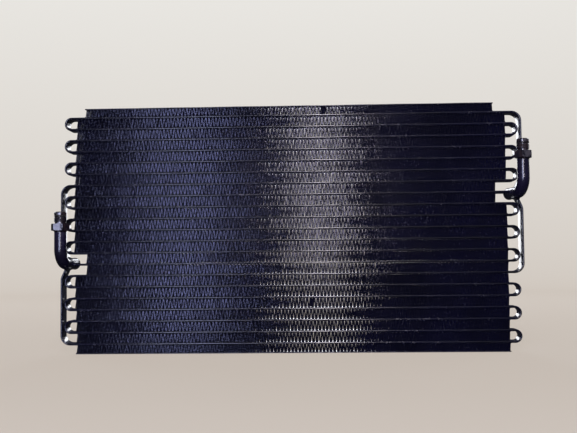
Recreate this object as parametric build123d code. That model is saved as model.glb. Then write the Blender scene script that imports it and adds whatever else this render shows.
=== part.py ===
from build123d import *
import os
from math import cos, hypot, pi, radians, sin

# Serpentine air conditioning condenser for a vehicle: three parallel circuits of flat aluminium tube,
# corrugated fins between the passes, and a round pipe with a brazed-on screw fitting at each side.
# X runs along the passes, Y through the core (the front is -Y), Z up. Millimetres.
# The origin is on the bottom plate's underside, midway between the return bends of the two sides.

# Flat tubes
passes_per_circuit = 7
tube_pitch = 15.5
tube_width = 22.0
tube_thickness = 3.0
tube_edge_chamfer = 0.9

# Corrugated fins and the two plates that close the core
core_length = 586.0
core_width = 21.0
outer_fin_height = 10.6
fin_sheet = 0.15
fin_leg_spacing = 14.6
left_end_bow = 3.6
right_end_step = 0.06
top_fin_left_gap = 12.0
top_fin_right_gap = 16.4
inlet_notch_depth = 15.0
outlet_notch_depth = 16.5
plate_thickness = 1.2
plate_overhang = 0.4

# Tube ends beside the core: return bends, and the outer loops that run round them to the pipes
bend_stub = 7.75
loop_clearance = 2.0
loop_corner_radius = 12.0
joggle_in = 9.0
joggle_height = 20.0
joggle_radius = 15.0

# Pipes: a header leg from front to back, an elbow and a riser
pipe_diameter = 16.0
pipe_wall = 1.5
inlet_pipe_yaw = 11.0
outlet_pipe_yaw = 7.0
elbow_radius = 20.0
front_margin = 2.5
rear_margin = 4.5
header_offset = 1.5
tube_insertion = 3.5
braze_gap = 0.05
riser_length = 49.5

# End caps
cap_thickness = 1.6
cap_edge_chamfer = 0.5
plug_length = 2.6

# Screw fittings: hexagon, relief, screwed length (plain here), seal groove and nose
hexagon_across_flats = 22.0
hexagon_height = 9.5
hexagon_corner_cut = 0.8
socket_depth = 5.0
fitting_bore = 11.0
relief_diameter = 14.5
relief_height = 2.0
screw_diameter = 17.0
screw_length = 7.0
screw_chamfer = 0.8
groove_height = 2.5
nose_diameter = 16.5
nose_height = 4.5
nose_chamfer = 1.2
inlet_hexagon_turn = 15.0
outlet_hexagon_turn = 0.0

# Sealing rings
ring_section = 1.8
ring_seat_gap = 0.05
ring_stand_proud = 0.15

tube_count = 3 * passes_per_circuit
half_core = core_length / 2
pipe_radius = pipe_diameter / 2
bore_radius = pipe_radius - pipe_wall
bend_radius = tube_pitch / 2
bend_x = half_core + bend_stub
loop_x = bend_x + bend_radius + tube_thickness + loop_clearance
header_x = loop_x - joggle_in
end_reach = bore_radius - tube_insertion


def tube_z(number):
    """Height of a pass, counted from 1 at the top."""
    lowest = plate_thickness + outer_fin_height + tube_thickness / 2
    return lowest + (tube_count - number) * tube_pitch


inlet_pass = passes_per_circuit + 1
outlet_pass = 2 * passes_per_circuit
inlet_z = tube_z(inlet_pass) - header_offset
outlet_z = tube_z(outlet_pass) + header_offset
core_middle_z = (tube_z(1) + tube_z(tube_count)) / 2


def tube_section(gap=0.0):
    """Section of the flat tube, its width along the local X."""
    flat = Rectangle(tube_width + 2 * gap, tube_thickness + 2 * gap)
    return chamfer(flat.vertices(), tube_edge_chamfer)


def joggle_direction(side, upward):
    """Unit direction in which a loop leaves its header; side is -1 at the left and 1 at the right."""
    return Vector(side * joggle_in, 0, upward * joggle_height).normalized()


def outer_loop(side, header_z, pass_z):
    """Points and radii from a header, out past the return bends, to a pass beside the core."""
    upward = 1 if pass_z > header_z else -1
    start = Vector(side * header_x, 0, header_z) + joggle_direction(side, upward) * end_reach
    points = [
        start,
        Vector(side * loop_x, 0, header_z + upward * joggle_height),
        Vector(side * loop_x, 0, pass_z),
        Vector(side * bend_x, 0, pass_z),
    ]
    return FilletPolyline(*points, radius=[joggle_radius, loop_corner_radius])


def serpentine(first, start_x, end_x):
    """Passes and return bends of one circuit, from the right end of its first pass downwards."""
    lines = []
    side = -1
    for number in range(first, first + passes_per_circuit):
        z = tube_z(number)
        last = number == first + passes_per_circuit - 1
        from_x = start_x if number == first else -side * bend_x
        to_x = end_x if last else side * bend_x
        lines.append(Line((from_x, 0, z), (to_x, 0, z)))
        if not last:
            below = tube_z(number + 1)
            crown = (side * (bend_x + bend_radius), 0, (z + below) / 2)
            lines.append(ThreePointArc((side * bend_x, 0, z), crown, (side * bend_x, 0, below)))
        side = -side
    return lines


def flat_tube(lines):
    """The flat tube swept along joined lines in the XZ plane, its width along Y."""
    path = Wire([edge for line in lines for edge in line.edges()])
    start = Plane(origin=path @ 0, x_dir=(0, 1, 0), z_dir=path % 0)
    return sweep(start * tube_section(), path=path)


def circuit_upper():
    """From the inlet header up and over to the first pass, and down to the outlet header."""
    first = outer_loop(1, inlet_z, tube_z(1))
    last = outer_loop(-1, outlet_z, tube_z(passes_per_circuit))
    return flat_tube([first, *serpentine(1, bend_x, -bend_x), last])


def circuit_middle():
    """Its first and last pass run straight into the headers."""
    end_x = header_x - end_reach
    return flat_tube(serpentine(inlet_pass, end_x, -end_x))


def circuit_lower():
    """The same piece as the upper circuit, turned half round in the plane of the core."""
    middle = Axis((0, 0, core_middle_z), (0, 1, 0))
    return circuit_upper().rotate(middle, 180)


def corrugated_fin(left_x, right_x, floor_z, height):
    """A zigzag sheet whose crests touch the surfaces above and below it."""
    legs = round((right_x - left_x) / fin_leg_spacing)
    step = (right_x - left_x) / legs
    half_sheet = fin_sheet / 2 * hypot(step, height) / step
    crests = [
        (left_x + k * step, floor_z + (half_sheet if k % 2 == 0 else height - half_sheet))
        for k in range(legs + 1)
    ]
    upper = [(x, z + half_sheet) for x, z in crests]
    lower = [(x, z - half_sheet) for x, z in reversed(crests)]
    profile = make_face(Polyline(*upper, *lower, close=True))
    return extrude(Plane.XZ * profile, core_width / 2, both=True)


def row_ends(number):
    """The rows bow out at the left, step out downwards at the right, and are cut back at the headers."""
    bow = left_end_bow * max(0, sin(pi * (number - 2) / (tube_count - 2)))
    left_x = -half_core - bow
    right_x = half_core + right_end_step * (number - 2)
    if number == 1:
        left_x, right_x = left_x + top_fin_left_gap, right_x - top_fin_right_gap
    if number in (outlet_pass, outlet_pass + 1):
        left_x += outlet_notch_depth
    if number in (inlet_pass, inlet_pass + 1):
        right_x -= inlet_notch_depth
    return left_x, right_x


def fin_row(number):
    """Row 1 lies above pass 1 and each other row below the pass numbered one less than itself."""
    height = tube_pitch - tube_thickness
    if number in (1, tube_count + 1):
        height = outer_fin_height
    floor_z = plate_thickness
    if number <= tube_count:
        floor_z = tube_z(number) + tube_thickness / 2
    return corrugated_fin(*row_ends(number), floor_z, height)


def core_plate(row, floor_z):
    """Flat strip as wide as the tubes, a little longer than the fin row that it covers."""
    left_x, right_x = row_ends(row)
    length = right_x - left_x + 2 * plate_overhang
    strip = Box(length, tube_width, plate_thickness, align=(Align.CENTER, Align.CENTER, Align.MIN))
    return Pos((left_x + right_x) / 2, 0, floor_z) * strip


def header_axis(side):
    """Unit direction of a header leg, from front to back, turned towards the core."""
    yaw = radians(inlet_pipe_yaw if side > 0 else outlet_pipe_yaw)
    return Vector(-side * sin(yaw), cos(yaw), 0)


def header_rear(side, header_z):
    rear_reach = tube_width / 2 + rear_margin
    return Vector(side * header_x, 0, header_z) + header_axis(side) * rear_reach


def riser_foot(side, header_z):
    front_reach = tube_width / 2 + front_margin + elbow_radius
    return Vector(side * header_x, 0, header_z) - header_axis(side) * front_reach


def tube_slot(origin, direction):
    """Cutter for the slot in a pipe's wall that one flat tube enters."""
    start = Plane(origin=origin, x_dir=(0, 1, 0), z_dir=direction)
    return extrude(start * tube_section(braze_gap), pipe_diameter)


def pipe(side, header_z, pass_z):
    """Riser, elbow and header leg, with slots for the three tubes that enter it."""
    foot = riser_foot(side, header_z)
    top = foot + Vector(0, 0, riser_length)
    path = FilletPolyline(top, foot, header_rear(side, header_z), radius=elbow_radius)
    ring = Circle(pipe_radius) - Circle(bore_radius)
    body = sweep(Plane(origin=path @ 0, z_dir=path % 0) * ring, path=path)
    axis = Vector(side * header_x, 0, header_z)
    for upward in (1, -1):
        direction = joggle_direction(side, upward)
        body -= tube_slot(axis + direction * end_reach, direction)
    straight_end = Vector(side * (header_x - end_reach), 0, pass_z)
    return body - tube_slot(straight_end, Vector(-side, 0, 0))


def end_cap(side, header_z):
    """Disc over the header's rear end, with a plug in its bore."""
    disc = extrude(Circle(pipe_radius), cap_thickness)
    disc = chamfer(disc.edges().group_by(Axis.Z)[-1], cap_edge_chamfer)
    plug = extrude(Circle(bore_radius - braze_gap), -plug_length)
    rear = Plane(origin=header_rear(side, header_z), z_dir=header_axis(side))
    return rear * (disc + plug)


def hexagon():
    """Hexagon with the corners cut back at both ends."""
    body = extrude(RegularPolygon(hexagon_across_flats / 2, 6, major_radius=False), hexagon_height)
    corner_radius = hexagon_across_flats / 2 / cos(radians(30))
    turned = extrude(Circle(corner_radius), hexagon_height)
    return body & chamfer(turned.edges().filter_by(GeomType.CIRCLE), hexagon_corner_cut)


groove_floor_radius = nose_diameter / 2 + ring_stand_proud - ring_section - ring_seat_gap
groove_foot = hexagon_height + relief_height + screw_length
fitting_height = groove_foot + groove_height + nose_height


def male_end():
    """Turned end above the hexagon: relief, screwed length, seal groove and nose."""
    relief = relief_diameter / 2
    screw = screw_diameter / 2
    nose = nose_diameter / 2
    screw_foot = hexagon_height + relief_height
    nose_foot = groove_foot + groove_height
    outline = Polyline(
        (0, hexagon_height),
        (relief, hexagon_height),
        (relief, screw_foot),
        (screw - screw_chamfer, screw_foot),
        (screw, screw_foot + screw_chamfer),
        (screw, groove_foot),
        (groove_floor_radius, groove_foot),
        (groove_floor_radius, nose_foot),
        (nose, nose_foot),
        (nose, fitting_height - nose_chamfer),
        (nose - nose_chamfer, fitting_height),
        (0, fitting_height),
        close=True,
    )
    return revolve(Plane.XZ * make_face(outline), Axis.Z)


def fitting_base(side, header_z):
    """Place of a fitting's lower face: its socket covers the top of the riser."""
    return riser_foot(side, header_z) + Vector(0, 0, riser_length - socket_depth)


def fitting(side, header_z, turn):
    """Hexagon with a socket for the pipe, and the male end."""
    body = hexagon() + male_end()
    body -= extrude(Circle(pipe_radius + braze_gap), socket_depth)
    body -= extrude(Circle(fitting_bore / 2), fitting_height)
    return Pos(fitting_base(side, header_z)) * Rot(Z=turn) * body


def o_ring(side, header_z):
    """Rubber ring in the seal groove."""
    major = groove_floor_radius + ring_seat_gap + ring_section / 2
    middle = fitting_base(side, header_z) + Vector(0, 0, groove_foot + groove_height / 2)
    return Pos(middle) * Torus(major, ring_section / 2)


nodes = {
    "circuit_upper": circuit_upper(),
    "circuit_middle": circuit_middle(),
    "circuit_lower": circuit_lower(),
    "top_plate": core_plate(1, tube_z(1) + tube_thickness / 2 + outer_fin_height),
    "bottom_plate": core_plate(tube_count + 1, 0),
    "inlet_pipe": pipe(1, inlet_z, tube_z(inlet_pass)),
    "outlet_pipe": pipe(-1, outlet_z, tube_z(outlet_pass)),
    "inlet_end_cap": end_cap(1, inlet_z),
    "outlet_end_cap": end_cap(-1, outlet_z),
    "inlet_fitting": fitting(1, inlet_z, inlet_hexagon_turn),
    "outlet_fitting": fitting(-1, outlet_z, outlet_hexagon_turn),
    "o_rings": Compound([o_ring(1, inlet_z), o_ring(-1, outlet_z)]),
}
for row in range(1, tube_count + 2):
    nodes[f"fin_{row:02d}"] = fin_row(row)

os.makedirs("parts", exist_ok=True)
for name, solid in nodes.items():
    export_step(solid, f"parts/{name}.step")
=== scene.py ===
import bmesh
import bpy
from math import cos, pi, radians, sin, sqrt, tan
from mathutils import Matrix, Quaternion, Vector, noise


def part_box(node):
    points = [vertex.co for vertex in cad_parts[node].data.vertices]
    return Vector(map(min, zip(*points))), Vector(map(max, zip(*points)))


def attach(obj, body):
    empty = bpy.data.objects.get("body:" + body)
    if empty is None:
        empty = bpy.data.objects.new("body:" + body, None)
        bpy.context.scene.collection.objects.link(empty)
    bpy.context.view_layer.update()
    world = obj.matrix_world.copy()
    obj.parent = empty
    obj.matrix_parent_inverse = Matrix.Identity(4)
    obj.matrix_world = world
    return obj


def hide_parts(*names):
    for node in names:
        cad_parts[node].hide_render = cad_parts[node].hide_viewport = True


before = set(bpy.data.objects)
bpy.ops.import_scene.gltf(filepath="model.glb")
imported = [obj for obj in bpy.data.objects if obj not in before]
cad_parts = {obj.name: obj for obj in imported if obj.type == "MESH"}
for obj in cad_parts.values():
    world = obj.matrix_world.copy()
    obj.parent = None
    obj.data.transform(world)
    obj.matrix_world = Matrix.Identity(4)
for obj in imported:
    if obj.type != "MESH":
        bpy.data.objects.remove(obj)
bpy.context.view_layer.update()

# Studio
# A round of pale paper, turned up in a soft curve all the way round, carries the condenser on its
# bottom plate. The paper glows with painted light of its own, dimmest on the floor under the condenser
# and brightest up the wall. Tall windows stand by the lens, on the left and behind, a panel hangs
# overhead, and the room is dim, so the enamel stays dark.
camera_place = Vector((0.0443, -1.2093, 0.1229))
camera_aim = Vector((-0.0022, 0.0, 0.1851))
camera_roll = radians(-0.558)
camera = bpy.data.objects.new("camera", bpy.data.cameras.new("camera"))
bpy.context.scene.collection.objects.link(camera)
camera.data.sensor_width = 36.0
camera.data.lens = 55.11
camera.data.clip_start = 0.01
camera.location = camera_place
camera.rotation_mode = "QUATERNION"
aimed = (camera_aim - camera_place).to_track_quat("-Z", "Y")
camera.rotation_quaternion = aimed @ Quaternion((0, 0, 1), camera_roll)
bpy.context.scene.camera = camera
bpy.context.scene.view_settings.view_transform = "Standard"


class Wire:
    """One socket of a node tree: sums on it add the Math nodes that they need."""

    def __init__(self, tree, socket=None):
        self.tree = tree
        self.socket = socket

    def node(self, kind, inputs=None, output=0, **settings):
        """A new node with its inputs set or wired, as the wire of one of its outputs."""
        made = self.tree.nodes.new(kind)
        for name, value in settings.items():
            setattr(made, name, value)
        for name, value in (inputs or {}).items():
            for part in value if isinstance(value, list) else [value]:
                if isinstance(part, Wire):
                    self.tree.links.new(part.socket, made.inputs[name])
                else:
                    made.inputs[name].default_value = part
        return Wire(self.tree, made.outputs[output]) if made.outputs else None

    def math(self, operation, *values):
        return self.node("ShaderNodeMath", dict(enumerate(values)), operation=operation)

    def __add__(self, other):
        return self.math("ADD", self, other)

    def __sub__(self, other):
        return self.math("SUBTRACT", self, other)

    def __mul__(self, other):
        return self.math("MULTIPLY", self, other)

    def __truediv__(self, other):
        return self.math("DIVIDE", self, other)

    def __gt__(self, other):
        return self.math("GREATER_THAN", self, other)

    def __radd__(self, other):
        return self.math("ADD", other, self)

    def __rsub__(self, other):
        return self.math("SUBTRACT", other, self)

    def mask(self, start, end):
        """0 below the start, 1 above the end."""
        return self.node("ShaderNodeMapRange", {0: self, 1: start, 2: end, 3: 0.0, 4: 1.0})

    def blend(self, under, over):
        """The colour under where this mask is 0, the colour over where it is 1."""
        return self.node("ShaderNodeMix", {0: self, 6: under, 7: over}, output=2, data_type="RGBA")

    def ramp(self, stops):
        """The colour that this number picks from stops, given as (number, colour)."""
        made = self.tree.nodes.new("ShaderNodeValToRGB")
        elements = made.color_ramp.elements
        while len(elements) < len(stops):
            elements.new(1.0)
        for element, (place, tone) in zip(elements, stops):
            element.position = place
            element.color = (*tone, 1.0)
        self.tree.links.new(self.socket, made.inputs[0])
        return Wire(self.tree, made.outputs[0])

    def clouds(self, scale, detail):
        """Soft noise over the places that this vector gives."""
        return self.node("ShaderNodeTexNoise", {"Vector": self, "Scale": scale, "Detail": detail})

    def part(self, axis):
        """One component of this vector."""
        return self.node("ShaderNodeSeparateXYZ", {0: self}, output="XYZ".index(axis))

    def vector(self, x=0.0, y=0.0, z=0.0):
        return self.node("ShaderNodeCombineXYZ", {0: x, 1: y, 2: z})


def blank_material(name):
    """A new material with an empty node tree, and a wire to start its nodes from."""
    finish = bpy.data.materials.new(name)
    finish.use_nodes = True
    finish.node_tree.nodes.clear()
    return finish, Wire(finish.node_tree)


def finish_material(base, sockets):
    """Ends a material's tree in one surface."""
    base.node("ShaderNodeOutputMaterial", {0: base.node("ShaderNodeBsdfPrincipled", sockets)})


def place_piece(name, verts, faces):
    """A smooth mesh object at the origin with its faces turned outwards."""
    mesh = bpy.data.meshes.new(name)
    mesh.from_pydata([tuple(v) for v in verts], [], faces)
    shape = bmesh.new()
    shape.from_mesh(mesh)
    bmesh.ops.recalc_face_normals(shape, faces=shape.faces)
    shape.to_mesh(mesh)
    shape.free()
    mesh.polygons.foreach_set("use_smooth", [True] * len(mesh.polygons))
    piece = bpy.data.objects.new(name, mesh)
    bpy.context.scene.collection.objects.link(piece)
    return piece


paper_even_radius = 0.4
paper_floor_radius = 2.6
paper_turn_radius = 0.9
paper_shown_top = 1.5
paper_top = 4.2
paper_sides = 96
paper_turn_steps = 24
paper_colour = (0.07, 0.068, 0.065, 1.0)
paper_glow = 0.97
paper_near_glow = (0.50, 0.44, 0.38)
paper_far_glow = (0.62, 0.56, 0.50)
paper_wall_glow = (0.82, 0.80, 0.76)
paper_line = [(paper_even_radius, 0.0), (paper_floor_radius, 0.0)]
for step in range(1, paper_turn_steps + 1):
    angle = step / paper_turn_steps * pi / 2
    turn_out = paper_turn_radius * sin(angle)
    turn_up = paper_turn_radius * (1 - cos(angle))
    paper_line.append((paper_floor_radius + turn_out, turn_up))
paper_line.append((paper_floor_radius + paper_turn_radius, paper_top))
paper_angles = [2 * pi * k / paper_sides for k in range(paper_sides)]
paper_verts = [(radius * cos(a), radius * sin(a), z) for radius, z in paper_line for a in paper_angles]
paper_faces = [tuple(range(paper_sides))]
for ring in range(len(paper_line) - 1):
    here, there = paper_sides * ring, paper_sides * (ring + 1)
    for k in range(paper_sides):
        beside = (k + 1) % paper_sides
        paper_faces.append((here + k, here + beside, there + beside, there + k))
paper = place_piece("paper_sweep", paper_verts, paper_faces)
shown_length = paper_floor_radius + paper_turn_radius * pi / 2 + paper_shown_top - paper_turn_radius
travelled = [paper_even_radius]
for (r0, z0), (r1, z1) in zip(paper_line, paper_line[1:]):
    travelled.append(travelled[-1] + sqrt((r1 - r0) ** 2 + (z1 - z0) ** 2))
along = paper.data.attributes.new("along", "FLOAT", "POINT")
along.data.foreach_set("value", [t / shown_length for t in travelled for angle in paper_angles])
paper_finish, base = blank_material("paper")
floor_share = paper_floor_radius / shown_length
# Painted light: the paper's glow grows from the middle of the floor out to the wall.
paper_glow_stops = [(0.0, paper_near_glow), (floor_share, paper_far_glow), (1.0, paper_wall_glow)]
tone = base.node("ShaderNodeAttribute", output=2, attribute_name="along").ramp(paper_glow_stops)
sockets = {
    "Base Color": paper_colour,
    "Roughness": 1.0,
    "Emission Color": tone,
    "Emission Strength": paper_glow,
}
finish_material(base, sockets)
paper.data.materials.append(paper_finish)
paper.visible_glossy = False
paper.visible_diffuse = False
paper.visible_shadow = False

core_centre = Vector((0.0, 0.0, 0.17))
rear_colour = (0.92, 0.94, 1.0)
windows = [
    ("lens_window", (0.043, -1.26, 0.85), (0.07, 1.7), 14.0, (1.0, 0.93, 1.0)),
    ("left_window", (-0.44, -1.9, 0.30), (0.30, 1.0), 16.0, (0.60, 0.66, 1.0)),
    ("overhead", (0.0, -0.5, 2.2), (1.8, 1.0), 2.5, (0.75, 0.80, 1.0)),
    ("rear_left", (-1.4, 1.3, 1.0), (0.7, 1.2), 6.0, rear_colour),
    ("rear_right", (1.4, 1.3, 1.0), (0.7, 1.2), 6.0, rear_colour),
    ("rear_middle", (0.0, 2.0, 0.85), (0.4, 1.5), 10.0, rear_colour),
]
for name, place, (width, height), power, colour in windows:
    light = bpy.data.lights.new(name, "AREA")
    light.shape = "RECTANGLE"
    light.size = width
    light.size_y = height
    light.energy = power
    light.color = colour
    lamp = bpy.data.objects.new(name, light)
    bpy.context.scene.collection.objects.link(lamp)
    lamp.location = place
    lamp.rotation_euler = (core_centre - Vector(place)).to_track_quat("-Z", "Y").to_euler()
    lamp.visible_camera = False

room_stops = [(0.35, (0.02, 0.02, 0.025)), (0.60, (0.07, 0.07, 0.09)), (1.0, (0.20, 0.20, 0.23))]
room_strength = 0.8
world = bpy.data.worlds.new("room")
bpy.context.scene.world = world
world.use_nodes = True
world.node_tree.nodes.clear()
base = Wire(world.node_tree)
height = base.node("ShaderNodeTexCoord", output=0).part("Z") * 0.5 + 0.5
room = base.node("ShaderNodeBackground", {0: height.ramp(room_stops), 1: room_strength})
base.node("ShaderNodeOutputWorld", {0: room})

# Flat tubes
# Three extruded aluminium tubes with full-round edges are folded into seven passes each. Their outer
# loops run round the folds to the headers. They are brazed to the fins, then enamelled gloss black.
pass_count = 21
passes_per_circuit = 7


def fin_box(row):
    """Lowest and highest corner of a fin row."""
    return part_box(f"fin_{row:02d}")


def tube_z(number):
    """Middle height of a pass, halfway between the fin rows that it parts."""
    return (fin_box(number)[0].z + fin_box(number + 1)[1].z) / 2


tube_thickness = fin_box(10)[0].z - fin_box(11)[1].z
tube_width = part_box("circuit_middle")[1].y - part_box("circuit_middle")[0].y
tube_pitch = tube_z(10) - tube_z(11)
tube_waviness = 0.0007
wave_scale = 24.0
edge_steps = 7
nearly_half = 0.4999
pass_spacing = 0.012
bend_radius = tube_pitch / 2
bend_steps = 18
bend_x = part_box("circuit_middle")[1].x - bend_radius - tube_thickness / 2
loop_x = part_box("circuit_upper")[1].x - tube_thickness / 2
header_heights = {
    1: (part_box("inlet_end_cap")[0].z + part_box("inlet_end_cap")[1].z) / 2,
    -1: (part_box("outlet_end_cap")[0].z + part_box("outlet_end_cap")[1].z) / 2,
}
joggle_in = 0.009
joggle_height = 0.020
joggle_radius = 0.015
loop_corner_radius = 0.012
corner_steps = 10
tube_end_reach = 0.003
header_x = loop_x - joggle_in


def round_corners(points, radii):
    """Points of a line with each inner corner turned into an arc."""
    line = [Vector(points[0])]
    for before, corner, after, radius in zip(points, points[1:], points[2:], radii):
        corner = Vector(corner)
        first = (Vector(before) - corner).normalized()
        second = (Vector(after) - corner).normalized()
        half = first.angle(second) / 2
        centre = corner + (first + second).normalized() * radius / sin(half)
        reach = radius / tan(half)
        from_centre = corner + first * reach - centre
        to_centre = corner + second * reach - centre
        for step in range(corner_steps + 1):
            arm = from_centre.slerp(to_centre, step / corner_steps).normalized()
            line.append(centre + arm * radius)
    line.append(Vector(points[-1]))
    return line


def half_turn(side, upper_z, lower_z):
    """Points of a return bend from one pass down to the next."""
    middle = (upper_z + lower_z) / 2
    angles = [pi / 2 - pi * k / bend_steps for k in range(1, bend_steps)]
    arc = [(bend_radius * cos(a), bend_radius * sin(a)) for a in angles]
    return [Vector((side * (bend_x + x), 0, middle + z)) for x, z in arc]


def straight(start, end):
    """Evenly spaced points of a pass, its two ends included."""
    count = max(2, round((Vector(end) - Vector(start)).length / pass_spacing))
    return [Vector(start).lerp(Vector(end), k / count) for k in range(count + 1)]


def loop_direction(side, upward):
    """Which way the loose end of a loop leaves its header."""
    return Vector((side * joggle_in, 0, upward * joggle_height)).normalized()


def outer_loop(side, pass_z):
    """Points from inside a header, out past the return bends, to a pass beside the core."""
    header_z = header_heights[side]
    upward = 1 if pass_z > header_z else -1
    points = [
        Vector((side * header_x, 0, header_z)) + loop_direction(side, upward) * tube_end_reach,
        (side * loop_x, 0, header_z + upward * joggle_height),
        (side * loop_x, 0, pass_z),
        (side * bend_x, 0, pass_z),
    ]
    return round_corners(points, [joggle_radius, loop_corner_radius])[:-1]


def serpentine(first, start_x, end_x):
    """Points of seven passes and their return bends, from the right end of the first pass down."""
    line = []
    side = -1
    for number in range(first, first + passes_per_circuit):
        z = tube_z(number)
        last = number == first + passes_per_circuit - 1
        from_x = start_x if number == first else -side * bend_x
        to_x = end_x if last else side * bend_x
        line += straight((from_x, 0, z), (to_x, 0, z))
        if not last:
            line += half_turn(side, z, tube_z(number + 1))
        side = -side
    return line


cloud_scale = 9.0
mottle_scale = 150.0
peel_scale = 900.0
dust_colour = (0.09, 0.085, 0.095, 1.0)
primer_colour = (0.16, 0.13, 0.12, 1.0)


def enamel(name, deep, cast, roughness, coat, pattern=1.0, thin_places=0.0, sheared=None):
    """Black stoving enamel with a coloured cast, uneven gloss, orange peel, dust and thin places."""
    finish, base = blank_material(name)
    place = base.node("ShaderNodeTexCoord", output=3)
    cloud = place.clouds(cloud_scale * pattern, 3.0)
    mottle = place.clouds(mottle_scale * pattern, 4.0)
    peel = place.clouds(peel_scale, 2.0)
    colour = cloud.mask(0.35, 0.65).blend((*deep, 1.0), (*cast, 1.0))
    dust = mottle.mask(0.56, 0.80) * cloud.mask(0.30, 0.70) * 0.35
    colour = dust.blend(colour, dust_colour)
    gloss = mottle * 0.20 + (roughness - 0.10) + dust * 0.5
    metallic = 0.0
    if thin_places:
        thin = mottle.mask(0.70 - thin_places, 0.76 - thin_places)
        colour = thin.blend(colour, primer_colour)
        metallic = thin * 0.6
    if sheared:
        facing = base.node("ShaderNodeTexCoord", output=1).part("Y")
        edge = base.math("ABSOLUTE", facing).mask(0.90, 0.97)
        colour = edge.blend(colour, (*sheared, 1.0))
        metallic = edge * 0.75
    grain = peel * 0.4 + mottle * 0.6
    sockets = {
        "Base Color": colour,
        "Roughness": gloss,
        "Metallic": metallic,
        "Coat Weight": coat,
        "Coat Roughness": 0.16,
        "Normal": base.node("ShaderNodeBump", {"Height": grain, "Strength": 0.12, "Distance": 0.0004}),
    }
    finish_material(base, sockets)
    return finish


tube_paint = enamel("tube_enamel", (0.002, 0.002, 0.006), (0.005, 0.005, 0.018), 0.18, 0.2)


def group(name, sockets):
    """A new geometry tree with the named inputs, and a dict of their wires."""
    tree = bpy.data.node_groups.new(name, "GeometryNodeTree")
    tree.interface.new_socket("Geometry", in_out="OUTPUT", socket_type="NodeSocketGeometry")
    for label, kind in sockets.items():
        tree.interface.new_socket(label, in_out="INPUT", socket_type=f"NodeSocket{kind}")
    entry = tree.nodes.new("NodeGroupInput")
    return tree, {label: Wire(tree, entry.outputs[label]) for label in sockets}


def carry(section, line):
    """A section carried along a line, with its width along Y and its ends filled."""
    line = line.node("GeometryNodeSetCurveNormal", {0: line, "Normal": (0.0, 1.0, 0.0)}, mode="FREE")
    return line.node("GeometryNodeCurveToMesh", {0: line, "Profile Curve": section, "Fill Caps": True})


def finish_group(geometry, material):
    """Ends a tree in Realize Instances and Set Material."""
    real = geometry.node("GeometryNodeRealizeInstances", {0: geometry})
    painted = geometry.node("GeometryNodeSetMaterial", {0: real, "Material": material})
    geometry.node("NodeGroupOutput", {0: painted})


def grow(name, tree, values, points=None):
    """Runs a tree, on a line through any points given, and keeps the result as a plain mesh."""
    mesh = bpy.data.meshes.new(name)
    if points:
        edges = [(k, k + 1) for k in range(len(points) - 1)]
        mesh.from_pydata([tuple(p) for p in points], edges, [])
    piece = bpy.data.objects.new(name, mesh)
    bpy.context.scene.collection.objects.link(piece)
    modifier = piece.modifiers.new("grow", "NODES")
    modifier.node_group = tree
    for item in tree.interface.items_tree:
        if item.in_out == "INPUT" and item.name in values:
            modifier[item.identifier] = values[item.name]
    bpy.context.view_layer.update()
    evaluated = piece.evaluated_get(bpy.context.evaluated_depsgraph_get())
    grown = bpy.data.meshes.new_from_object(evaluated)
    piece.modifiers.remove(modifier)
    piece.data = grown
    grown.name = name
    return piece


# A tree that carries a full-round section along a line, a little unevenly, as rolling leaves it.
tube_tree, port = group(
    "flat_tube",
    {
        "Line": "Geometry",
        "Width": "Float",
        "Thickness": "Float",
        "Waviness": "Float",
        "Material": "Material",
    },
)
base = port["Line"]
line = base.node("GeometryNodeMeshToCurve", {0: port["Line"]})
section = base.node("GeometryNodeCurvePrimitiveQuadrilateral", {0: port["Width"], 1: port["Thickness"]})
rounding = {0: section, "Radius": port["Thickness"] * nearly_half, "Count": edge_steps}
section = base.node("GeometryNodeFilletCurve", rounding, mode="POLY")
ripple = base.node("GeometryNodeInputPosition").clouds(wave_scale, 1.0)
lift = base.vector(z=(ripple - 0.5) * port["Waviness"])
tube = base.node("GeometryNodeSetPosition", {0: carry(section, line), "Offset": lift})
finish_group(base.node("GeometryNodeSetShadeSmooth", {0: tube}), port["Material"])

upper_line = outer_loop(1, tube_z(1)) + serpentine(1, bend_x, -bend_x)
upper_line += outer_loop(-1, tube_z(passes_per_circuit))[::-1]
middle_line = serpentine(passes_per_circuit + 1, header_x - tube_end_reach, tube_end_reach - header_x)
core_middle_z = (tube_z(1) + tube_z(pass_count)) / 2
lower_line = [Vector((-p.x, 0, 2 * core_middle_z - p.z)) for p in upper_line]
circuit_lines = {"circuit_upper": upper_line, "circuit_middle": middle_line, "circuit_lower": lower_line}
for node, points in circuit_lines.items():
    values = {
        "Width": tube_width,
        "Thickness": tube_thickness,
        "Waviness": tube_waviness,
        "Material": tube_paint,
    }
    piece = grow(f"{node}_tube", tube_tree, values, points)
    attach(piece, "root")
    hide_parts(node)

# Corrugated fins
# Each row is one strip of thin aluminium sheet folded into legs with round crests. Two banks of
# louvres, turned opposite ways, are cut in each leg. The crests are brazed to the tubes.
fin_leg_spacing = 0.00238
fin_sheet = 0.00012
edge_bead = 0.0003
crest_bead = 0.0004
crest_radius = 0.00045
crest_steps = 4
louvre_pitch = 0.0029
louvre_width = louvre_pitch * 0.98
louvre_end_room = 0.0004
louvre_angle = radians(48)
louvre_lean = 0.35
louvre_twist = 0.008
louvres_per_bank = 3
middle_strip = 0.0014
leg_end_room = 1.7 * crest_radius
leg_lean = 0.012
leg_twist = 0.014
fin_drift = 0.0012
drift_scale = 130.0
fin_turn = 0.0045
row_turn = 0.010
dented_rows = {1: 0.047, 18: 0.028}
undented = -9.0
dent_reach = 0.006
dent_lean = 0.12
dent_twist = 0.15
dent_louvre_twist = 0.06
deep_navy = (0.003, 0.003, 0.012)
fin_cast = (0.006, 0.006, 0.026)
sheared_edge = (0.05, 0.05, 0.07)
fin_paint = enamel("fin_enamel", deep_navy, fin_cast, 0.18, 0.0, pattern=1.7, sheared=sheared_edge)

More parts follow.
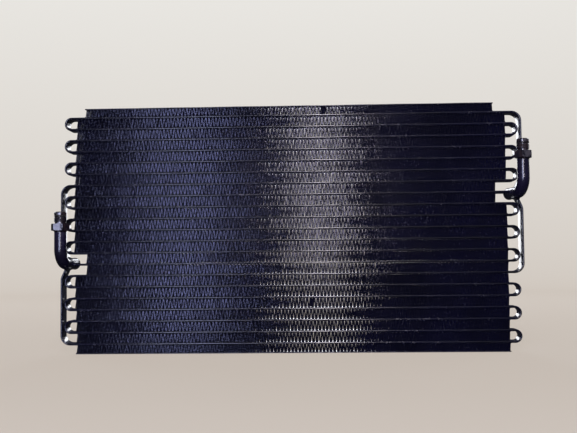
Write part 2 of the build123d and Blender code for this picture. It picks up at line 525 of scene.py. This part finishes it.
fin_tree, port = group(
    "fin_row",
    {
        "Left": "Float",
        "Step": "Float",
        "Legs": "Int",
        "Floor": "Float",
        "Height": "Float",
        "Depth": "Float",
        "Slip": "Float",
        "Turn": "Float",
        "Dent": "Float",
        "Louvre Angle": "Float",
        "Seed": "Int",
        "Material": "Material",
    },
)
base = port["Left"]
index = base.node("GeometryNodeInputIndex")


def bar(x, y, z):
    """A block of the given size around the origin."""
    return base.node("GeometryNodeMeshCube", {0: base.vector(x, y, z)})


def points_at(count, place):
    """Points that each lie where their own number puts them."""
    line = base.node("GeometryNodeMeshLine", {"Count": count})
    return base.node("GeometryNodeSetPosition", {0: line, "Position": place})


def copies(points, shape, turn):
    """A copy of a shape on each point, turned by the point's own angles."""
    return base.node("GeometryNodeInstanceOnPoints", {0: points, "Instance": shape, "Rotation": turn})


# One leg, upright at the origin: two banks of louvres, a strip at each edge and one in the middle.
# The louvres beside the middle strip are turned the most.
bank_length = louvres_per_bank * louvre_pitch
rear_bank = index > louvres_per_bank - 0.5
louvre_y = (index + 0.5) * louvre_pitch + (rear_bank * middle_strip - bank_length - middle_strip / 2)
louvre_points = points_at(2 * louvres_per_bank, base.vector(y=louvre_y))
slat = bar(fin_sheet, louvre_width, port["Height"] - louvre_end_room)
from_middle = base.math("ABSOLUTE", louvre_y) / bank_length
slat_angle = (1 - rear_bank * 2) * port["Louvre Angle"] * (1.10 - from_middle * 0.41)
banks = copies(louvre_points, slat, base.vector(z=slat_angle))
louvre_set = base.node("GeometryNodeRealizeInstances", {0: banks})
edge_strip = port["Depth"] / 2 - (bank_length + middle_strip / 2)
leg_parts = []
for side, wide in ((-1, edge_strip), (0, middle_strip), (1, edge_strip)):
    strip = bar(edge_bead if side else fin_sheet, wide, port["Height"] - leg_end_room)
    if side:
        shift = base.vector(y=(port["Depth"] - edge_strip) * (side * 0.5))
        strip = base.node("GeometryNodeTransform", {0: strip, "Translation": shift})
    leg_parts.append(strip)
leg = base.node("GeometryNodeJoinGeometry", {0: leg_parts})


def crest_x(number):
    """Where a crest stands: evenly spaced, but for the slow drift that handled fins have."""
    even = number * port["Step"] + port["Left"]
    drift = base.vector(x=even, z=port["Floor"] * 3.0).clouds(drift_scale, 2.0)
    return even + (drift - 0.5) * port["Slip"]


odd = base.math("MODULO", index, 2.0)
here = crest_x(index)
there = crest_x(index + 1)
middle_x = (here + there) * 0.5
near_dent = 1 - base.math("ABSOLUTE", middle_x - port["Dent"]) / dent_reach
near_dent = base.math("MAXIMUM", near_dent, 0.0)
leg_points = points_at(port["Legs"], base.vector(x=middle_x, z=port["Height"] * 0.5 + port["Floor"]))
rise = port["Height"] - 2 * crest_radius
lean = (1 - odd * 2) * base.math("ARCTAN2", there - here - 2 * crest_radius, rise)
shake = base.node("FunctionNodeRandomValue", {2: -1.0, 3: 1.0, "Seed": port["Seed"]}, output=1)
leg_turn = base.vector(
    y=lean + shake * leg_lean + near_dent * dent_lean,
    z=shake * leg_twist + port["Turn"] + near_dent * dent_twist,
)
legs = copies(leg_points, leg, leg_turn)
louvre_turn = base.vector(
    y=lean * louvre_lean,
    z=shake * louvre_twist + port["Turn"] + near_dent * dent_louvre_twist,
)
louvres = copies(leg_points, louvre_set, louvre_turn)

# The round crests, which sit on the tube below and under the tube above by turns.
arc_sizes = {"Resolution": crest_steps, "Radius": crest_radius, "Start Angle": 0.0, "Sweep Angle": pi}
arc = base.node("GeometryNodeCurveArc", arc_sizes)
arc = base.node("GeometryNodeTransform", {0: arc, "Rotation": (pi / 2, 0.0, 0.0)})
sheet_end = base.node("GeometryNodeCurvePrimitiveQuadrilateral", {0: port["Depth"], 1: crest_bead})
crest_place = base.vector(x=here, z=odd * rise + (port["Floor"] + crest_radius))
crest_points = points_at(port["Legs"] + 1, crest_place)
crest_turn = base.vector(y=(1 - odd) * pi, z=port["Turn"])
crests = copies(crest_points, carry(sheet_end, arc), crest_turn)
finish_group(base.node("GeometryNodeJoinGeometry", {0: [legs, louvres, crests]}), port["Material"])

for row in range(1, pass_count + 2):
    low, high = fin_box(row)
    leg_count = round((high.x - low.x) / fin_leg_spacing)
    values = {
        "Left": low.x,
        "Step": (high.x - low.x) / leg_count,
        "Legs": leg_count,
        "Floor": low.z,
        "Height": high.z - low.z,
        "Depth": high.y - low.y,
        "Slip": fin_drift,
        "Turn": fin_turn + row_turn * sin(row * 2.4),
        "Dent": dented_rows.get(row, undented),
        "Louvre Angle": louvre_angle,
        "Seed": row,
        "Material": fin_paint,
    }
    piece = grow(f"fin_row_{row:02d}", fin_tree, values)
    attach(piece, "root")
    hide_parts(f"fin_{row:02d}")

# Core plates
# A thin sheet covers the crests of the top row and of the bottom row. It is sheared, brazed to the
# crests, and painted with the core, and the top one is not quite flat. Its long edges are broken round.
plate_edge = 0.0004
plate_wave = 0.0003
plate_wave_scale = 22.0
plate_steps = 96
plate_paint = enamel("plate_enamel", (0.007, 0.007, 0.013), (0.016, 0.013, 0.034), 0.28, 0.4, 0.8, 0.02)


def loft(rings, closed=False):
    """A shell through rings of equal counts, its ends capped, or joined to each other when closed."""
    count = len(rings[0])
    verts = [point for ring in rings for point in ring]
    last = len(rings) if closed else len(rings) - 1
    faces = []
    for r in range(last):
        here, there = count * r, count * ((r + 1) % len(rings))
        for k in range(count):
            beside = (k + 1) % count
            faces.append((here + k, here + beside, there + beside, there + k))
    if not closed:
        faces += [tuple(range(count)), tuple(count * last + k for k in range(count))]
    return verts, faces


for node in ("top_plate", "bottom_plate"):
    low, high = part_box(node)
    wave = plate_wave if node == "top_plate" else 0.0
    outline = [
        (low.y, low.z + plate_edge),
        (low.y, high.z - plate_edge),
        (low.y + plate_edge, high.z),
        (high.y - plate_edge, high.z),
        (high.y, high.z - plate_edge),
        (high.y, low.z + plate_edge),
        (high.y - plate_edge, low.z),
        (low.y + plate_edge, low.z),
    ]
    rings = []
    for step in range(plate_steps + 1):
        x = low.x + (high.x - low.x) * step / plate_steps
        sag = (noise.noise((x * plate_wave_scale, 0.0, 0.3)) - 0.5) * wave
        rings.append([(x, y, z + sag) for y, z in outline])
    piece = place_piece(f"{node}_sheet", *loft(rings))
    piece.data.set_sharp_from_angle(angle=radians(50))
    piece.data.materials.append(plate_paint)
    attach(piece, "root")
    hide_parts(node)

# Pipes
# Each pipe is one round aluminium tube. Its rear leg lies across the core's edge as the header that
# three flat tubes enter, then an elbow turns it up in front. The joints are furnace brazed.
pipe_radius = (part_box("inlet_end_cap")[1].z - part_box("inlet_end_cap")[0].z) / 2
pipe_wall = 0.0015
pipe_yaws = {1: radians(11), -1: radians(7)}
pipe_sides = 48
elbow_radius = 0.020
elbow_steps = 16
header_steps = 8
riser_steps = 6
front_reach = 0.0335
rear_reach = 0.0155
socket_depth = 0.005
braze_size = 0.0013
braze_unevenness = 0.55
braze_lumps = 210
braze_skin = 0.00003
braze_root = 0.0006
seam_end_steps = 12
seam_flat_steps = 16
pipe_paint = enamel("pipe_enamel", (0.005, 0.004, 0.011), (0.013, 0.010, 0.034), 0.28, 0.6, pattern=1.2)


def join_parts(name, parts, sharp=radians(35)):
    """One piece of several closed shells, given as (points, faces)."""
    verts, faces = [], []
    for part_verts, part_faces in parts:
        faces += [tuple(v + len(verts) for v in face) for face in part_faces]
        verts += part_verts
    piece = place_piece(name, verts, faces)
    piece.data.set_sharp_from_angle(angle=sharp)
    return piece


def header_axis(side):
    """Unit vector along the header leg of a pipe, from its front to its capped rear end."""
    return Vector((-side * sin(pipe_yaws[side]), cos(pipe_yaws[side]), 0))


def header_point(side, reach):
    """A point on the axis of a header leg, at a reach behind the flat tubes' middle."""
    return Vector((side * header_x, 0, header_heights[side])) + header_axis(side) * reach


def pipe_rings(side, radius, top_z):
    """Rings of a pipe's skin, from its rear end round the elbow to its top."""
    axis = header_axis(side)
    across = axis.cross(Vector((0, 0, 1)))
    stations = [(header_point(side, rear_reach), axis)]
    for step in range(1, header_steps + 1):
        reach = rear_reach - (rear_reach + front_reach - elbow_radius) * step / header_steps
        stations.append((header_point(side, reach), axis))
    pivot = header_point(side, elbow_radius - front_reach) + Vector((0, 0, elbow_radius))
    for step in range(1, elbow_steps + 1):
        angle = pi / 2 * step / elbow_steps
        arm = axis * -sin(angle) - Vector((0, 0, cos(angle)))
        stations.append((pivot + arm * elbow_radius, axis * cos(angle) - Vector((0, 0, sin(angle)))))
    foot = stations[-1][0]
    for step in range(1, riser_steps + 1):
        lift = Vector((0, 0, (top_z - foot.z) * step / riser_steps))
        stations.append((foot + lift, Vector((0, 0, -1))))
    rings = []
    for centre, back in stations:
        up = across.cross(back).normalized()
        angles = [2 * pi * k / pipe_sides for k in range(pipe_sides)]
        rings.append([centre + (across * cos(a) + up * sin(a)) * radius for a in angles])
    return rings


def braze_seam(side, leaving, seed):
    """The uneven fillet of braze round a flat tube where it enters the header."""
    axis = header_axis(side)
    middle = header_point(side, 0)
    broad = Vector((0, 1, 0))
    thick = broad.cross(leaving).normalized()
    round_end = tube_thickness / 2
    flat_half = tube_width / 2 - round_end
    outline = []
    for end in (1, -1):
        for step in range(seam_end_steps + 1):
            angle = pi / 2 - pi * step / seam_end_steps
            normal = (broad * cos(angle) + thick * sin(angle)) * end
            outline.append((broad * flat_half * end + normal * round_end, normal))
        for step in range(1, seam_flat_steps):
            slide = flat_half * (1 - 2 * step / seam_flat_steps) * end
            outline.append((broad * slide - thick * round_end * end, -thick * end))
    rings = []
    for place, normal in outline:
        start = place - axis * place.dot(axis)
        travel = leaving - axis * leaving.dot(axis)
        a, b, c = travel.dot(travel), 2 * start.dot(travel), start.dot(start) - pipe_radius**2
        seam = middle + place + leaving * (sqrt(max(b * b - 4 * a * c, 0.0)) - b) / (2 * a)
        lumps = noise.noise(seam * braze_lumps + Vector((seed, 0, 0)))
        size = braze_size * (1 + braze_unevenness * lumps)
        on_tube = seam + leaving * size * 1.25 + normal * braze_skin
        beside = seam + normal * size * 1.3
        along_header = (beside - middle).dot(axis)
        outward = (beside - middle - axis * along_header).normalized()
        on_header = middle + axis * along_header + outward * (pipe_radius + braze_skin)
        belly = (on_tube + on_header) * 0.36 + seam * 0.28 + normal * size * 0.18
        root = seam - leaving * braze_root - normal * braze_root
        rings.append([on_tube, belly, on_header, root])
    return loft(rings, closed=True)


for name, side in (("inlet", 1), ("outlet", -1)):
    top_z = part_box(f"{name}_pipe")[1].z
    outer = pipe_rings(side, pipe_radius, top_z)
    inner = pipe_rings(side, pipe_radius - pipe_wall, top_z)
    parts = [
        loft(outer + inner[::-1], closed=True),
        braze_seam(side, loop_direction(side, 1), 3.0 + side),
        braze_seam(side, loop_direction(side, -1), 7.0 + side),
        braze_seam(side, Vector((-side, 0, 0)), 11.0 + side),
    ]
    piece = join_parts(f"{name}_pipe_bent", parts)
    piece.data.materials.append(pipe_paint)
    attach(piece, "root")
    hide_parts(f"{name}_pipe")

# End caps
# A pressed aluminium disc closes the rear end of each header, with a bead of braze round its rim.
cap_thickness = 0.0016
cap_chamfer = 0.0005
cap_dish = 0.0003
cap_bead_radius = 0.0005
cap_bead_inset = 0.00025


def turned(place, axis, profile, sides=64, closed=False, form=None):
    """A shell turned about an axis, from pairs of (distance along it, radius)."""
    side_way = (Vector((1, 0, 0)) - axis * axis.x).normalized()
    up_way = axis.cross(side_way)
    rings = []
    for reach, radius in profile:
        ring = []
        for k in range(sides):
            angle = 2 * pi * k / sides
            size = form(angle, reach, radius) if form else radius
            ring.append(place + axis * reach + (side_way * cos(angle) + up_way * sin(angle)) * size)
        rings.append(ring)
    return loft(rings, closed)


def ring_profile(centre_radius, radius, steps):
    """The round section of a ring, as pairs of (distance along its axis, radius)."""
    angles = [2 * pi * k / steps for k in range(steps)]
    return [(radius * sin(a), centre_radius + radius * cos(a)) for a in angles]


cap_profile = [
    (0.0, pipe_radius),
    (cap_thickness - cap_chamfer, pipe_radius),
    (cap_thickness, pipe_radius - cap_chamfer),
    (cap_thickness, pipe_radius * 0.82),
    (cap_thickness - cap_dish, pipe_radius * 0.76),
    (cap_thickness - cap_dish, pipe_radius * 0.3),
    (cap_thickness - 0.00025, 0.0002),
]
bead_profile = ring_profile(pipe_radius - cap_bead_inset, cap_bead_radius, 8)
for name, side in (("inlet", 1), ("outlet", -1)):
    joint = header_point(side, rear_reach)
    disc = turned(joint, header_axis(side), cap_profile)
    bead = turned(joint, header_axis(side), bead_profile, closed=True)
    piece = join_parts(f"{name}_end_disc", [disc, bead])
    piece.data.materials.append(pipe_paint)
    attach(piece, "root")
    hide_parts(f"{name}_end_cap")

# Fittings
# A turned aluminium end is brazed over the top of each pipe: a hexagon for the spanner, a relief, a
# short screw, a groove for the ring and a bevelled nose. It is painted and nicked here and there to
# bare metal, and a painted highlight of bare grey metal lies on its faces that look to the front,
# most on the left fitting.
fitting_sides = 72
hexagon_across = 0.022
hexagon_height = 0.0095
hexagon_cut = 0.0008
hexagon_cut_start = 0.0002
hexagon_cut_slope = 1.9
hexagon_turns = {1: radians(15), -1: 0.0}
fitting_bore = 0.0055
bore_edge = 0.0003
relief_radius = 0.00725
relief_top = 0.0115
relief_overlap = 0.0004
screw_radius = 0.0085
screw_top = 0.0185
screw_pitch = 0.0015
screw_depth = 0.0005
screw_chamfer = 0.0008
screw_steps = 40
screw_run_in = 0.0012
screw_run_out = 0.0010
groove_top = 0.021
groove_radius = 0.00655
groove_edge = 0.0002
nose_radius = 0.00825
nose_top = 0.0255
nose_chamfer = 0.0012
hair = 1e-6

fitting_paint, base = blank_material("fitting_enamel")
place = base.node("ShaderNodeTexCoord", output=3)
facing = base.node("ShaderNodeNewGeometry", output=1).part("Y")
left_half = place.part("X").mask(0.0, -0.001)
grime = place.clouds(160.0, 5.0)
scuff = base.node("ShaderNodeMapping", {0: place, 3: (1.0, 1.0, 0.35)}).clouds(620.0, 4.0)
front_face = facing.mask(-0.90, -0.97)
# Painted highlight: faces that look to the front, most on the left fitting, turn bare grey in patches.
painted_highlight = front_face * (left_half * 0.75 + 0.25) * grime.mask(0.34, 0.52) * (0.45 + scuff * 0.9)
nicks = scuff.mask(0.70, 0.76) * grime.mask(0.48, 0.60)
# Partly real nicks to bare metal, partly the painted highlight on the front faces.
bare_and_highlight = base.math("MAXIMUM", painted_highlight, nicks)
colour = grime.mask(0.40, 0.62).blend((0.008, 0.007, 0.012, 1.0), (0.030, 0.019, 0.021, 1.0))
grain = scuff * 0.5 + grime * 0.5
sockets = {
    "Base Color": bare_and_highlight.blend(colour, (0.30, 0.30, 0.33, 1.0)),
    "Roughness": grime * 0.2 + 0.14 + bare_and_highlight * 0.22,
    "Metallic": bare_and_highlight * 0.7,
    "Coat Weight": 0.6 - bare_and_highlight * 0.5,
    "Coat Roughness": 0.10,
    "Normal": base.node("ShaderNodeBump", {"Height": grain, "Strength": 0.18, "Distance": 0.0004}),
}
finish_material(base, sockets)


def screw_form(angle, reach, radius):
    """The screw's thread: a rounded ridge that climbs one pitch each turn and fades at both ends."""
    if not relief_top + hair < reach < screw_top - hair or radius < screw_radius - hair:
        return radius
    climb = (reach / screw_pitch - angle / (2 * pi)) % 1.0
    fade = min(1.0, (reach - relief_top) / screw_run_in, (screw_top - reach) / screw_run_out)
    return radius - screw_depth * (0.5 + 0.5 * cos(2 * pi * climb)) * fade


def hexagon_form(angle, reach, radius):
    """Radius of the hexagon at an angle, with its corners cut back towards both ends."""
    if radius < hexagon_across / 2:
        return radius
    flat = hexagon_across / 2 / cos(angle % (pi / 3) - pi / 6)
    from_end = min(reach, hexagon_height - reach)
    return min(flat, hexagon_across / 2 + hexagon_cut_start + from_end * hexagon_cut_slope)


screw_rise = screw_top - relief_top - 2 * screw_chamfer
screw_heights = [relief_top + screw_chamfer + screw_rise * k / screw_steps for k in range(screw_steps + 1)]
body_profile = [
    (socket_depth, fitting_bore),
    (socket_depth, relief_radius),
    (relief_top, relief_radius),
    (relief_top, screw_radius - screw_chamfer),
    *[(height, screw_radius) for height in screw_heights],
    (screw_top, screw_radius - screw_chamfer),
    (screw_top, groove_radius),
    (groove_top, groove_radius),
    (groove_top, nose_radius - groove_edge),
    (groove_top + groove_edge, nose_radius),
    (nose_top - nose_chamfer, nose_radius),
    (nose_top, nose_radius - nose_chamfer),
    (nose_top, fitting_bore + bore_edge),
    (nose_top - bore_edge, fitting_bore),
]
end_cuts = [0.0, 0.0002, 0.0004, 0.0006, hexagon_cut]
hexagon_heights = end_cuts + [hexagon_height - cut for cut in reversed(end_cuts)]
hexagon_profile = [
    (0.0, pipe_radius),
    *[(height, hexagon_across / 2) for height in hexagon_heights],
    (hexagon_height, relief_radius - relief_overlap),
    (hexagon_height - 0.001, relief_radius - relief_overlap),
    (0.001, pipe_radius),
]
fillet_profile = [
    (0.0002, pipe_radius - 0.0003),
    (0.0002, pipe_radius + 0.0016),
    (-0.0004, pipe_radius + 0.0008),
    (-0.0012, pipe_radius + 0.0003),
    (-0.0022, pipe_radius + 0.00005),
    (-0.0022, pipe_radius - 0.0003),
]
upright = Vector((0, 0, 1))


def riser_point(side, height):
    """A point on the axis of a pipe's upright leg."""
    foot = header_point(side, -front_reach)
    return Vector((foot.x, foot.y, height))


for name, side in (("inlet", 1), ("outlet", -1)):
    foot = riser_point(side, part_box(f"{name}_fitting")[0].z)
    verts, faces = turned(foot, upright, hexagon_profile, fitting_sides, closed=True, form=hexagon_form)
    spin = Quaternion(upright, hexagon_turns[side])
    hexagon = ([foot + spin @ (v - foot) for v in verts], faces)
    body = turned(foot, upright, body_profile, fitting_sides, closed=True, form=screw_form)
    fillet = turned(foot, upright, fillet_profile, closed=True)
    piece = join_parts(f"{name}_screw_end", [body, hexagon, fillet], sharp=radians(25))
    piece.data.materials.append(fitting_paint)
    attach(piece, "root")
    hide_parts(f"{name}_fitting")

# Sealing rings
# A moulded rubber ring sits in the groove of each male end and stands a little proud of it.
ring_radius = 0.0009
ring_middle_radius = 0.0075
ring_steps = 14
rubber, base = blank_material("ring_rubber")
bloom = base.node("ShaderNodeTexCoord", output=3).clouds(300.0, 3.0)
sockets = {
    "Base Color": bloom.mask(0.4, 0.7).blend((0.010, 0.010, 0.010, 1.0), (0.028, 0.027, 0.026, 1.0)),
    "Roughness": bloom * 0.2 + 0.45,
    "Normal": base.node("ShaderNodeBump", {"Height": bloom, "Strength": 0.1, "Distance": 0.0003}),
}
finish_material(base, sockets)
round_section = ring_profile(ring_middle_radius, ring_radius, ring_steps)
parts = []
for name, side in (("inlet", 1), ("outlet", -1)):
    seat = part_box(f"{name}_fitting")[0].z + (screw_top + groove_top) / 2
    parts.append(turned(riser_point(side, seat), upright, round_section, closed=True))
piece = join_parts("sealing_rings", parts, sharp=radians(60))
piece.data.materials.append(rubber)
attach(piece, "root")
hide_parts("o_rings")
